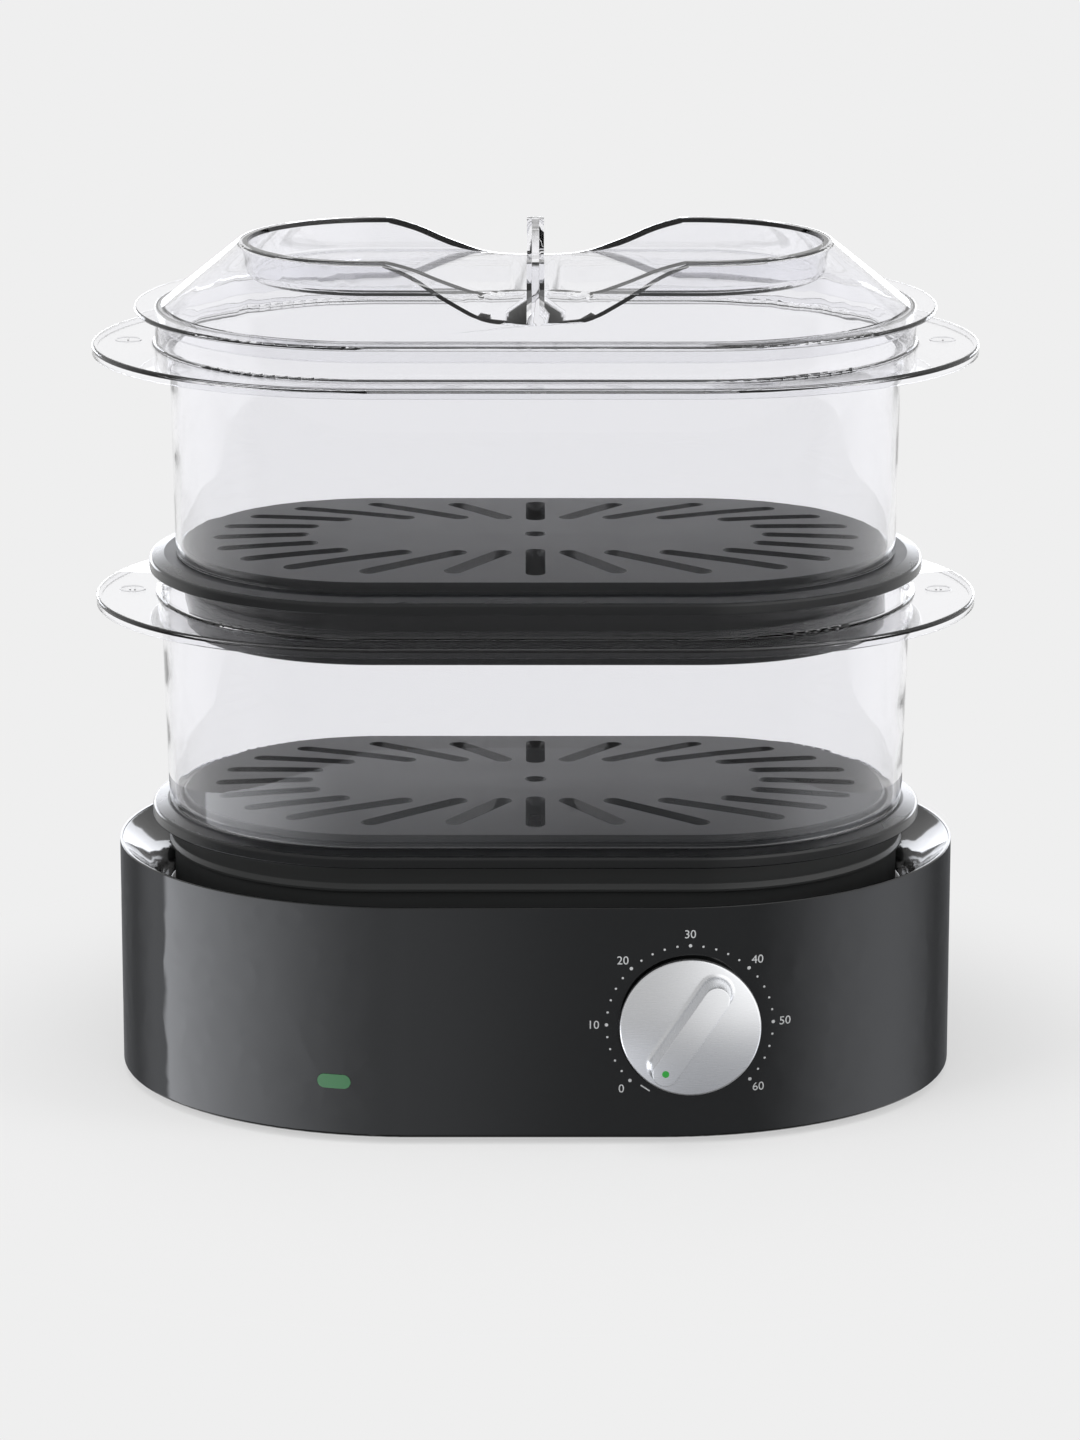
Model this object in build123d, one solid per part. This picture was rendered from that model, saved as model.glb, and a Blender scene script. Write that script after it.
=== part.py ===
"""Two-tier electric food steamer. Millimetres, +Z up, the front faces -Y.
The origin is on the floor, at the middle of the overall width and depth."""
import os
from math import atan, cos, degrees, radians, sin, sqrt, tan

from build123d import *

# Stacking levels above the floor
FLOOR_GAP = 2.5            # lower edge of the casing
RIM_TOP = 90.4             # thin upper edge of the casing
TRAY_RISE = 19.1           # edge of the lower slotted plate above the rim
PLATE_1 = RIM_TOP + TRAY_RISE
TIER = 95.2                # one tray and one bowl
PLATE_2 = PLATE_1 + TIER
SEAT_DROP = 7.0            # plate edge down to the face that rests on a collar
FOOT_DROP = 4.0            # plate edge down to the ledge that carries a bowl
LID_SEAT = PLATE_2 + TIER - SEAT_DROP

# Oval plan: a straight run with a half round or half ellipse at each end
RUN = 59.5                 # half the straight run of trays, bowls and lid
COLLAR_R = 82.0            # collar of a bowl; trays, drip tray, lid and base are fitted to it
BASE_RUN = RUN - 14.0
BASE_END_X, BASE_END_Y = COLLAR_R + 30.2, COLLAR_R + 21.7
EAR_END_X, EAR_END_Y = COLLAR_R + 23.5, COLLAR_R + 13.0

# Casing and water reservoir
CASING_WALL = 2.5
RIM_WALL = 0.9
RIM_STEP = 4.2             # height of the thin rim above the full wall
TANK_WALL = 2.4
TANK_MOUTH_R = COLLAR_R + 2.4
TANK_MOUTH_Z = RIM_TOP - 10.5
TANK_LEDGE_R = TANK_MOUTH_R - 3.9
TANK_LEDGE_Z = TANK_MOUTH_Z - 9.9
TANK_NECK_R = TANK_LEDGE_R - 14.5
TANK_FLOOR_Z = TANK_LEDGE_Z - 28.0
PAD_HEIGHT = 3.0           # pads that carry the drip tray
POST_R = 4.5
POST_OFFSET = TANK_NECK_R + 10.0
PILOT_R = 1.75

# Heater
HEATER_HOLE_R = 44.0
HEATER_PLATE_R = HEATER_HOLE_R + 4.0
HEATER_PLATE_T = 1.2
HEATER_DISH = 3.0          # depth of the dish in the heater plate
HEATER_DISH_R = HEATER_HOLE_R - 8.0
CLAMP_T = 1.6
CUTOUT_DEPTH, CUTOUT_TAB_X = 15.5, 4.5
SEAL_T = 1.2
TUBE_R = 3.4
TUBE_RING_R = HEATER_DISH_R - TUBE_R - 0.6
TUBE_OPENING = 24.0        # half the open angle of the ring, degrees
TAIL_DROP, TAB_LENGTH = 9.0, 8.5
FUSE_X, FUSE_LENGTH = 28.0, 22.0

# Control knob and timer
KNOB_X, KNOB_Z = 56.5, TANK_LEDGE_Z - 24.2
KNOB_R = 25.85
KNOB_WELL_R = KNOB_R + 0.85
KNOB_WELL_DEPTH = 1.2
KNOB_PROUD = 4.0           # face of the cap in front of the casing wall
KNOB_DISC_T = 2.4
BAR_LENGTH, BAR_WIDTH, BAR_HEIGHT = 2 * KNOB_R - 8.7, 9.6, 11.5
BAR_DRAFT = 4.0
BAR_FILLET = 1.6
BAR_ANGLE = 56.5           # direction of the bar in the off position
DOT_R = 1.3
SHAFT_R = 3.0
SHAFT_CLEARANCE = 0.06
TIMER_SIZE, TIMER_DEPTH, TIMER_TAB = 38.0, 21.0, 8.0
BELL_HEIGHT = 4.2
TIMER_FRONT_Y = -(TANK_NECK_R + TANK_WALL + 2.5 + BELL_HEIGHT + TIMER_DEPTH + 1.4)
TIMER_SCREW_RISE = 24.0

# Indicator lamp
LENS_X, LENS_Z = -73.9, 23.4
LENS_LENGTH, LENS_HEIGHT = 12.3, 5.3
LENS_PROUD = 0.25
LAMP_SET_BACK, LAMP_LENGTH = 9.0, 11.0

# Cord inlet at the back
INLET_X, INLET_Z = -60.0, 18.0
INLET_BORE_R = 3.6
BUSH_PROUD = 3.0
TERMINAL_Y, TERMINAL_STEP, TERMINAL_HOLE_Z = 62.0, 10.5, 4.0
LEAD_R, LEAD_BEND = 1.1, 2.5

# Slotted trays
PLATE_R = COLLAR_R - 8.9
PLATE_T = 3.0
CROWN = 2.0                # rise of the plate at its middle
TRAY_RIM_R = COLLAR_R + 3.6
TRAY_LIP_DROP = 9.5
SKIRT_TOP_R = PLATE_R - 0.1
SKIRT_FOOT_R = SKIRT_TOP_R - 1.8
SKIRT_WALL = 2.0
SLOT_TOP, SLOT_THROUGH = 7.3, 3.9
HOLE_TOP_R, HOLE_THROUGH_R = 4.15, 2.2

# Slot tips (outer x, outer y, inner x, inner y) in one quarter of the plate, as drawn for a
# plate 132.6 long and 73.1 deep from its middle
CORNER_SLOTS = [
    (31.9, 60.0, 10.35, 27.2),
    (63.7, 59.7, 26.15, 27.9),
    (92.0, 51.8, 46.15, 28.2),
    (108.5, 37.2, 69.5, 25.5),
    (118.3, 19.4, 81.0, 13.8),
]
END_SLOT = (121.4, 0.0, 84.5, 0.0)
MID_SLOT = (0.0, 63.3, 0.0, 24.7)
SLOT_STRETCH_X, SLOT_STRETCH_Y = (RUN + PLATE_R) / 132.6, PLATE_R / 73.1

# Bowls
BOWL_WALL = 2.0
COLLAR_RISE = 12.4         # collar above the flange
FLANGE_T = 2.0
FLANGE_LIP = 3.9
LOWER_FOOT_R, LOWER_TOP_R = COLLAR_R - 2.9, COLLAR_R - 0.7
UPPER_FOOT_R, UPPER_TOP_R = COLLAR_R - 6.5, COLLAR_R - 5.3
FOOT_LIP_R = PLATE_R + 0.7  # turned-in foot that centres the wider bowl
MARK_X, MARK_R = RUN + EAR_END_X - 13.5, 5.0

# Drip tray
DRIP_COLLAR_R = COLLAR_R - 3.4
DRIP_BODY_R = DRIP_COLLAR_R - 1.2
DRIP_WALL = 2.0
BEAD_R = DRIP_COLLAR_R + 0.9
BEAD_Z = RIM_TOP - 0.1
DRIP_NECK_R = TANK_NECK_R - 1.6
DRIP_FLOOR_Z = TANK_LEDGE_Z - 6.0
CHIMNEY_LENGTH, CHIMNEY_WIDTH, CHIMNEY_RISE = 96.0, 14.0, 10.0
SKIRT_DROP = PLATE_1 - TANK_LEDGE_Z - (PAD_HEIGHT + DRIP_WALL + 3.1)

# Lid
LID_WALL = 2.0
LID_FLANGE_R = COLLAR_R + 7.5
LID_FLANGE_T = 1.8
LID_RISE = 25.5            # top of the lid above its seat
LID_TOP = LID_SEAT + LID_RISE
LID_SHOULDER_R = COLLAR_R - 31.6  # where the sloping side would meet the top
LID_SLOPE = 1.23           # outward run of the side for each mm down
LID_SKIRT_R = COLLAR_R - BOWL_WALL - 0.6
LID_SKIRT_DROP = 6.0
DISH_R, DISH_FOOT_R = LID_SHOULDER_R - 3.0, LID_SHOULDER_R - 4.9
DISH_DEPTH = 12.2
DISH_FLOOR = LID_TOP - DISH_DEPTH
FIN_WIDTH, FIN_WEB = 6.4, 2.6  # end strips of the fin and the web between them
FIN_END_Y = DISH_R - 3.4   # where the end strips begin
SCOOP_FALL = 0.168         # fall of a scoop for each mm towards its side
SCOOP_START_Y = DISH_R - 5.4
# Half width of a scoop and its depth below the lid's top at the edge of the dish
SCOOP_CURVE = [(0.0, 13.0), (11.0, 12.8), (20.0, 11.5), (27.7, 8.9),
               (35.6, 5.8), (43.1, 2.5), (49.1, 0.5), (54.5, -0.9)]


def profile(points):
    """Closed face in the XZ plane from corners (radius, height, rounding)."""
    corners = []
    for index, (r, z, rounding) in enumerate(points):
        here = Vector(r, 0, z)
        before, after = points[index - 1], points[(index + 1) % len(points)]
        if rounding == 0:
            corners.append((here, None, here))
            continue
        back = (Vector(before[0], 0, before[1]) - here).normalized()
        ahead = (Vector(after[0], 0, after[1]) - here).normalized()
        half = radians(back.get_angle(ahead)) / 2
        centre = here + (back + ahead).normalized() * (rounding / sin(half))
        middle = centre + (here - centre).normalized() * rounding
        reach = rounding / tan(half)
        corners.append((here + back * reach, middle, here + ahead * reach))
    edges = []
    for index, (start, middle, end) in enumerate(corners):
        if middle is not None:
            edges.append(Edge.make_three_point_arc(start, middle, end))
        following = corners[(index + 1) % len(corners)][0]
        if (following - end).length > 1e-6:
            edges.append(Edge.make_line(end, following))
    return Face(Wire(edges))


def oval(points, run=RUN):
    """Carry a profile round an oval: straight sides and half-round ends."""
    face = profile(points)
    south = face.rotate(Axis.Z, -90)
    north = face.rotate(Axis.Z, 90)
    turn_r = Axis((run, 0, 0), (0, 0, 1))
    turn_l = Axis((-run, 0, 0), (0, 0, 1))
    along = Vector(2 * run, 0, 0)
    pieces = [
        Solid.revolve(south.moved(Location((run, 0, 0))), 180, turn_r),
        Solid.revolve(north.moved(Location((-run, 0, 0))), 180, turn_l),
        Solid.extrude(south.moved(Location((-run, 0, 0))), along),
        Solid.extrude(north.moved(Location((-run, 0, 0))), along),
    ]
    return Part() + pieces


def turned(points):
    """Revolve a profile round Z."""
    return Part() + Solid.revolve(profile(points), 360, Axis.Z)


def outline(run, end_x, end_y, z):
    """Face at height z: straight front and back, half ellipses at the ends."""
    right = Edge.make_ellipse(end_x, end_y, Plane.XY.offset(z).move(Location((run, 0, 0))),
                              start_angle=-90, end_angle=90)
    left = Edge.make_ellipse(end_x, end_y, Plane.XY.offset(z).move(Location((-run, 0, 0))),
                             start_angle=90, end_angle=270)
    back = Edge.make_line((run, end_y, z), (-run, end_y, z))
    front = Edge.make_line((-run, -end_y, z), (run, -end_y, z))
    return Face(Wire([right, back, left, front]))


def casing_outline(inset, z):
    return outline(BASE_RUN, BASE_END_X - inset, BASE_END_Y - inset, z)


def upright(face, low, high):
    """Extrude a horizontal face drawn at height low up to height high."""
    return Part() + Solid.extrude(face, Vector(0, 0, high - low))


def casing_block(inset, low, high):
    return upright(casing_outline(inset, low), low, high)


def facing_front(shape, x, y, z):
    """Stand a shape drawn on XY so that its +Z looks out of the front."""
    return shape.rotate(Axis.X, 90).moved(Location((x, y, z)))


def wall_y(x):
    """Outer face of the casing's front wall at x."""
    across = max(0.0, abs(x) - BASE_RUN) / BASE_END_X
    return -BASE_END_Y * sqrt(1 - across ** 2)


def post_places():
    """The six posts under the reservoir, as (x, y)."""
    slant = radians(50)
    x, y = RUN + POST_OFFSET * cos(slant), POST_OFFSET * sin(slant)
    return [(0, POST_OFFSET), (0, -POST_OFFSET), (x, y), (-x, y), (x, -y), (-x, -y)]


def timer_screw_places():
    return [KNOB_Z - TIMER_SCREW_RISE, KNOB_Z + TIMER_SCREW_RISE]


def lens_prism(grow):
    """Pill-shaped bar right through the front wall at the lamp."""
    pill = SlotOverall(LENS_LENGTH + 2 * grow, LENS_HEIGHT + 2 * grow)
    return facing_front(extrude(pill, 20), LENS_X, wall_y(LENS_X) + 10.0, LENS_Z)


def outer_casing():
    """Glossy oval band with a thin upper rim."""
    body = casing_block(0, FLOOR_GAP, RIM_TOP)
    body = fillet(body.edges().group_by(Axis.Z)[0], 1.4)
    body = fillet(body.edges().group_by(Axis.Z)[-1], 0.35)
    body -= casing_block(CASING_WALL, FLOOR_GAP - 1, RIM_TOP + 1)
    body -= casing_block(RIM_WALL, RIM_TOP - RIM_STEP, RIM_TOP + 1)
    front = wall_y(KNOB_X)
    for z in timer_screw_places():
        boss = facing_front(extrude(Circle(3.6), 6.0), KNOB_X, TIMER_FRONT_Y, z)
        body += boss & casing_block(0.6, 0, RIM_TOP)
    well = extrude(Circle(KNOB_WELL_R), 10)
    body -= facing_front(well, KNOB_X, front + KNOB_WELL_DEPTH, KNOB_Z)
    body -= facing_front(extrude(Circle(SHAFT_R + 1.2), 20), KNOB_X, front + 12, KNOB_Z)
    for z in timer_screw_places():
        body -= facing_front(extrude(Circle(1.3), 3.6), KNOB_X, TIMER_FRONT_Y, z)
    body -= lens_prism(0.1)
    inlet = Cylinder(5.6, 20).rotate(Axis.X, 90).moved(Location((INLET_X, -wall_y(INLET_X), INLET_Z)))
    return body - inlet


def reservoir_deck():
    """Funnel-shaped deck, mouth and ledge, with the posts that carry the bottom cover."""
    deck_edge = RIM_TOP - 0.3
    under_z = RIM_TOP - RIM_STEP + 0.1
    deck = casing_block(RIM_WALL + 0.1, under_z, deck_edge)
    deck += Solid.make_loft([
        casing_outline(RIM_WALL + 1.9, under_z).outer_wire(),
        outline(RUN, TANK_MOUTH_R + 2.9, TANK_MOUTH_R + 2.9, TANK_MOUTH_Z - 3.9).outer_wire()], True)
    mouth = outline(RUN, TANK_MOUTH_R, TANK_MOUTH_R, TANK_MOUTH_Z)
    deck -= Solid.make_loft([casing_outline(RIM_WALL + 0.5, deck_edge + 0.01).outer_wire(),
                             mouth.outer_wire()], True)
    deck -= upright(outline(RUN, TANK_MOUTH_R, TANK_MOUTH_R, TANK_LEDGE_Z - 10), TANK_LEDGE_Z - 10, RIM_TOP)
    t = TANK_WALL
    body = deck + oval([
        (TANK_NECK_R, TANK_LEDGE_Z - t, 0), (TANK_LEDGE_R + t, TANK_LEDGE_Z - t, 2.5),
        (TANK_MOUTH_R + 2.9, TANK_MOUTH_Z - 3.9, 0), (TANK_MOUTH_R, TANK_MOUTH_Z, 0),
        (TANK_LEDGE_R, TANK_LEDGE_Z, 1.5), (TANK_NECK_R, TANK_LEDGE_Z, 1.0)])
    pad_r = (TANK_NECK_R + DRIP_BODY_R) / 2
    for angle in (35, 90, 145, 215, 270, 325):
        side = 1 if cos(radians(angle)) > 0.1 else (-1 if cos(radians(angle)) < -0.1 else 0)
        x = side * RUN + pad_r * cos(radians(angle))
        y = pad_r * sin(radians(angle))
        pad = Box(7.0, 5.0, PAD_HEIGHT + 0.5).rotate(Axis.Z, angle)
        z = TANK_LEDGE_Z + (PAD_HEIGHT - 0.5) / 2
        body += pad.moved(Location((x, y, z)))
    for x, y in post_places():
        low = FLOOR_GAP + 3.1
        post = Cylinder(POST_R, TANK_LEDGE_Z - t / 2 - low,
                        align=(Align.CENTER, Align.CENTER, Align.MIN))
        pilot = Cylinder(PILOT_R, 24, align=(Align.CENTER, Align.CENTER, Align.MIN))
        body += post.moved(Location((x, y, low)))
        body -= pilot.moved(Location((x, y, low)))
    return body


def water_reservoir():
    """Basin welded under the ledge, with the hole for the heater plate."""
    t = TANK_WALL
    basin = oval([
        (0, TANK_FLOOR_Z - t, 0), (TANK_NECK_R + t, TANK_FLOOR_Z - t, 6.4),
        (TANK_NECK_R + t, TANK_LEDGE_Z - t, 0), (TANK_NECK_R, TANK_LEDGE_Z - t, 0),
        (TANK_NECK_R, TANK_FLOOR_Z, 4.0), (0, TANK_FLOOR_Z, 0)])
    return basin - Cylinder(HEATER_HOLE_R, 20).moved(Location((0, 0, TANK_FLOOR_Z)))


def bottom_cover():
    low, thick = FLOOR_GAP + 0.5, 2.4
    body = casing_block(CASING_WALL + 0.2, low, low + thick)
    for x, y in post_places():
        body -= Cylinder(2.0, 10).moved(Location((x, y, low)))
        body -= Cylinder(3.9, 1.3, align=(Align.CENTER, Align.CENTER, Align.MIN)).moved(
            Location((x, y, low)))
    for x, y in foot_places():
        body -= Cylinder(3.0, 10).moved(Location((x, y, low)))
    for index in range(-4, 5):
        slot = Box(3.0, 44.0, 10).moved(Location((index * 9.0, 0, low)))
        body -= slot
    return body


def foot_places():
    return [(sx * (BASE_RUN + 58.5), sy * 36.0) for sx in (-1, 1) for sy in (-1, 1)]


def rubber_feet():
    low = FLOOR_GAP + 0.5
    foot = turned([(0, 0, 0), (8.5, 0, 1.0), (9.5, low, 0.5), (2.9, low, 0),
                   (2.9, low + 3.4, 0.6), (0, low + 3.4, 0)])
    return [foot.moved(Location((x, y, 0))) for x, y in foot_places()]


def cover_screws():
    low = FLOOR_GAP + 0.6
    screw = turned([(0, low, 0), (3.6, low, 0.3), (3.6, low + 1.15, 0), (1.65, low + 1.15, 0),
                    (1.65, low + 15, 0.4), (0, low + 15, 0)])
    screw -= Box(5.0, 0.9, 1.2).moved(Location((0, 0, low)))
    screw -= Box(0.9, 5.0, 1.2).moved(Location((0, 0, low)))
    return [screw.moved(Location((x, y, 0))) for x, y in post_places()]


def heater_plate():
    """Shallow stainless dish that closes the hole in the basin floor."""
    top = TANK_FLOOR_Z + SEAL_T
    t = HEATER_PLATE_T
    return turned([(0, top - HEATER_DISH, 0), (HEATER_DISH_R, top - HEATER_DISH, 2.0),
                   (HEATER_DISH_R + 3.0, top, 1.5),
                   (HEATER_PLATE_R, top, 0), (HEATER_PLATE_R, top + t, 0.4),
                   (HEATER_DISH_R + 2.2, top + t, 1.5), (HEATER_DISH_R - 0.8, top - HEATER_DISH + t, 2.0),
                   (0, top - HEATER_DISH + t, 0)])


def heater_seal():
    z = TANK_FLOOR_Z
    return turned([(HEATER_HOLE_R - 2.0, z - TANK_WALL - 1.0, 0.4),
                   (HEATER_HOLE_R - 0.1, z - TANK_WALL - 1.0, 0.4),
                   (HEATER_HOLE_R - 0.1, z, 0), (HEATER_PLATE_R - 0.6, z, 0.4),
                   (HEATER_PLATE_R - 0.6, z + SEAL_T, 0), (HEATER_HOLE_R - 2.0, z + SEAL_T, 0)])


def heating_element():
    """Sheathed tube bent into an open ring, brazed under the plate."""
    z = TANK_FLOOR_Z + SEAL_T - HEATER_DISH - TUBE_R
    first, last = radians(90 + TUBE_OPENING), radians(450 - TUBE_OPENING)
    middle = (first + last) / 2
    spots = [Vector(TUBE_RING_R * cos(a), TUBE_RING_R * sin(a), z) for a in (first, middle, last)]
    ring = Edge.make_three_point_arc(*spots)
    tube = sweep(Plane(origin=spots[0], z_dir=ring % 0) * Circle(TUBE_R), path=Wire([ring]))
    body = Part() + tube
    for spot in (spots[0], spots[2]):
        body += Cylinder(TUBE_R, TAIL_DROP, align=(Align.CENTER, Align.CENTER, Align.MAX)).moved(
            Location(spot))
        body += Sphere(TUBE_R).moved(Location(spot))
        tab = Box(0.8, 6.3, TAB_LENGTH + 1, align=(Align.CENTER, Align.CENTER, Align.MIN))
        body += tab.moved(Location(spot - Vector(0, 0, TAIL_DROP + TAB_LENGTH)))
    return body


def heater_clamp():
    """Steel cross bar that pulls the element and plate against the seal."""
    z = TANK_FLOOR_Z + SEAL_T - HEATER_DISH - 2 * TUBE_R
    seat = TANK_FLOOR_Z - TANK_WALL
    step_x = HEATER_PLATE_R + 0.2
    bar = Box(2 * step_x + CLAMP_T, 14.0, CLAMP_T).moved(Location((0, 0, z - CLAMP_T / 2)))
    for side in (-1, 1):
        rise = seat - z + CLAMP_T
        bar += Box(CLAMP_T, 14.0, rise).moved(Location((side * step_x, 0, seat - rise / 2)))
        bar += Box(9.0, 14.0, CLAMP_T).moved(Location((side * (step_x + 3.7), 0, seat - CLAMP_T / 2)))
        screw = Cylinder(2.6, 1.8, align=(Align.CENTER, Align.CENTER, Align.MAX))
        bar += screw.moved(Location((side * (step_x + 4.8), 0, seat - CLAMP_T)))
    return bar - Cylinder(2.2, 10).moved(Location((0, 0, z)))


def thermostat():
    z = TANK_FLOOR_Z + SEAL_T - HEATER_DISH - 2 * TUBE_R - CLAMP_T
    body = turned([(0, z, 0), (8.0, z, 0.5), (8.0, z - 2.0, 0), (7.2, z - 2.0, 0),
                   (7.2, z - 9.0, 0.8), (0, z - 9.0, 0)])
    for side in (-1, 1):
        tab = Box(0.8, 6.3, 7.0, align=(Align.CENTER, Align.CENTER, Align.MIN))
        body += tab.moved(Location((side * CUTOUT_TAB_X, 0, z - CUTOUT_DEPTH)))
    return body


def thermal_fuse():
    z = TANK_FLOOR_Z + SEAL_T - HEATER_DISH - 2 * TUBE_R - CLAMP_T
    place = Location((FUSE_X, 0, z - 2.1))
    barrel = Cylinder(2.0, 11).rotate(Axis.Y, 90).moved(place)
    return barrel + Cylinder(0.5, FUSE_LENGTH).rotate(Axis.Y, 90).moved(place)


def timer_housing():
    """Case of the spring-driven 60-minute timer, with its switch contacts."""
    body = extrude(RectangleRounded(TIMER_SIZE, TIMER_SIZE, 5.0), TIMER_DEPTH)
    body = fillet(body.edges().group_by(Axis.Z)[0], 1.0)
    body += Cylinder(5.5, 2.0).moved(Location((0, 0, TIMER_DEPTH)))
    for x in (-10.0, 10.0):
        tab = Box(6.3, 0.8, TIMER_TAB + 1, align=(Align.CENTER, Align.CENTER, Align.MIN))
        body += tab.moved(Location((x, -TIMER_SIZE / 2 + 3, -TIMER_TAB)))
    body -= Cylinder(SHAFT_R + SHAFT_CLEARANCE, 16, align=(
        Align.CENTER, Align.CENTER, Align.MAX)).moved(Location((0, 0, TIMER_DEPTH + 2)))
    return facing_front(body, KNOB_X, TIMER_FRONT_Y + 1.4 + TIMER_DEPTH, KNOB_Z)


def timer_bracket():
    """Steel plate between the timer and the casing bosses."""
    plate = RectangleRounded(16.0, 2 * TIMER_SCREW_RISE + 8, 4.0)
    plate += RectangleRounded(TIMER_SIZE - 4, TIMER_SIZE - 4, 4.0)
    plate -= Circle(6.0)
    for side in (-1, 1):
        plate -= Pos(0, side * TIMER_SCREW_RISE) * Circle(1.7)
    body = extrude(plate, 1.2)
    return facing_front(body, KNOB_X, TIMER_FRONT_Y + 1.3, KNOB_Z)


def timer_screws():
    head = turned([(0, 0, 0), (2.9, 0, 0.6), (2.9, 1.6, 0), (1.25, 1.6, 0), (1.25, 5.2, 0.3),
                   (0, 5.2, 0)])
    head -= Box(0.8, 4.2, 1.6)
    back = TIMER_FRONT_Y + 1.35 + 1.6
    return [facing_front(head, KNOB_X, back, z) for z in timer_screw_places()]


def timer_bell():
    """Little steel bell on the back of the timer."""
    t = 0.8
    high = BELL_HEIGHT
    bell = turned([(0, high, 0), (6.0, high, 1.5), (9.0, 0.6, 0), (9.0 - t, 0.6, 0),
                   (5.6, high - t, 1.2), (1.6, high - t, 0), (1.6, 0, 0), (0, 0, 0)])
    back = TIMER_FRONT_Y + 1.4 + TIMER_DEPTH
    return bell.rotate(Axis.X, -90).moved(Location((KNOB_X, back, KNOB_Z + 5.0)))


def timer_shaft():
    """Flatted shaft, drawn from the wall outwards; it turns with the knob."""
    front = wall_y(KNOB_X)
    start = TIMER_FRONT_Y + 12.0
    length = start - (front - KNOB_PROUD + 0.6)
    shaft = Cylinder(SHAFT_R, length, align=(Align.CENTER, Align.CENTER, Align.MIN))
    flat = Box(8, 2, 6.0).moved(Location((0, SHAFT_R + 0.4, length - 2.0)))
    return facing_front(shaft - flat, KNOB_X, start, KNOB_Z)


def knob_core():
    """Dark hub behind the metal cap, running in the ring-shaped well."""
    front = wall_y(KNOB_X)
    depth = KNOB_WELL_DEPTH - 0.5
    body = turned([(SHAFT_R, -depth, 0), (KNOB_R - 1.2, -depth, 0.3),
                   (KNOB_R - 1.2, KNOB_PROUD - KNOB_DISC_T, 0),
                   (SHAFT_R, KNOB_PROUD - KNOB_DISC_T, 0)])
    return facing_front(body, KNOB_X, front, KNOB_Z)


def bar_sketch(grow=0.0):
    return Rotation(0, 0, BAR_ANGLE) * SlotOverall(BAR_LENGTH + 2 * grow, BAR_WIDTH + 2 * grow)


def knob_cap():
    """Brushed metal disc with the raised grip bar."""
    top = KNOB_PROUD
    disc = turned([(0, top - KNOB_DISC_T, 0), (KNOB_R, top - KNOB_DISC_T, 0.25),
                   (KNOB_R, top, 0.7), (0, top, 0)])
    spread = BAR_HEIGHT * tan(radians(BAR_DRAFT))
    bar = extrude(Pos(0, 0, top) * bar_sketch(spread), BAR_HEIGHT, taper=BAR_DRAFT)
    body = disc + bar
    foot = [e for e in body.edges() if abs(e.center().Z - top) < 0.01
            and abs(e.bounding_box().size.Z) < 0.01 and e.length < 100]
    body = fillet(foot, BAR_FILLET)
    body = fillet(body.edges().group_by(Axis.Z)[-1], 0.3)
    x, y = dot_place()
    body -= Cylinder(DOT_R, 0.6).moved(Location((x, y, top + BAR_HEIGHT)))
    body -= Cylinder(SHAFT_R, KNOB_DISC_T - 0.4, align=(Align.CENTER, Align.CENTER, Align.MIN)).moved(
        Location((0, 0, top - KNOB_DISC_T)))
    return facing_front(body, KNOB_X, wall_y(KNOB_X), KNOB_Z)


def dot_place():
    """Centre of the pointer dot, seen from the front."""
    reach = BAR_LENGTH / 2 - BAR_WIDTH / 2
    return -reach * cos(radians(BAR_ANGLE)), -reach * sin(radians(BAR_ANGLE))


def pointer_dot():
    x, y = dot_place()
    top = KNOB_PROUD + BAR_HEIGHT
    dot = Cylinder(DOT_R - 0.02, 0.3, align=(Align.CENTER, Align.CENTER, Align.MIN))
    return facing_front(dot.moved(Location((x, y, top - 0.3))), KNOB_X, wall_y(KNOB_X), KNOB_Z)


def lamp_lens():
    """Clear green pill that follows the curve of the wall."""
    body = lens_prism(0) & casing_block(-LENS_PROUD, 0, RIM_TOP)
    body -= casing_block(CASING_WALL + 0.8, 0, RIM_TOP)
    flange = lens_prism(1.2) & casing_block(CASING_WALL + 0.05, 0, RIM_TOP)
    flange -= casing_block(CASING_WALL + 0.8, -1, RIM_TOP + 1)
    return body + flange


def neon_lamp():
    y = wall_y(LENS_X) + LAMP_SET_BACK
    bulb = Cylinder(2.4, LAMP_LENGTH).rotate(Axis.Y, 90).moved(Location((LENS_X, y, LENS_Z)))
    return bulb + Sphere(2.4).moved(Location((LENS_X + LAMP_LENGTH / 2, y, LENS_Z)))


def lamp_holder():
    """Clip on the bottom cover that holds the neon lamp behind its lens."""
    y = wall_y(LENS_X) + LAMP_SET_BACK
    low = FLOOR_GAP + 2.9
    stem = Box(6.0, 7.0, LENS_Z + 1.2 - low, align=(Align.CENTER, Align.CENTER, Align.MIN))
    body = stem.moved(Location((LENS_X, y, low)))
    return body - Cylinder(2.45, 20).rotate(Axis.Y, 90).moved(Location((LENS_X, y, LENS_Z)))


def cord_bush():
    """Grommet where a mains cord would enter."""
    body = turned([(INLET_BORE_R, -4.0, 0.4), (8.0, -4.0, 0.6), (8.0, -0.4, 0), (5.5, -0.4, 0),
                   (5.5, 4.4, 0), (8.0, 4.4, 0), (8.0, 6.6, 1.0), (INLET_BORE_R, 6.6, 0.8)])
    body = body.rotate(Axis.X, -90)
    return body.moved(Location((INLET_X, -wall_y(INLET_X) + BUSH_PROUD - 6.6, INLET_Z)))


def terminal_block():
    body = Box(34.0, 16.0, 11.0, align=(Align.CENTER, Align.CENTER, Align.MIN))
    for index in (-1, 0, 1):
        x = index * TERMINAL_STEP
        body -= Cylinder(2.6, 8).moved(Location((x, 0, 10.0)))
        body -= Cylinder(LEAD_R + 0.3, 20).rotate(Axis.X, 90).moved(Location((x, 0, TERMINAL_HOLE_Z)))
    return body.moved(Location((INLET_X, TERMINAL_Y, FLOOR_GAP + 2.9)))


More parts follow.
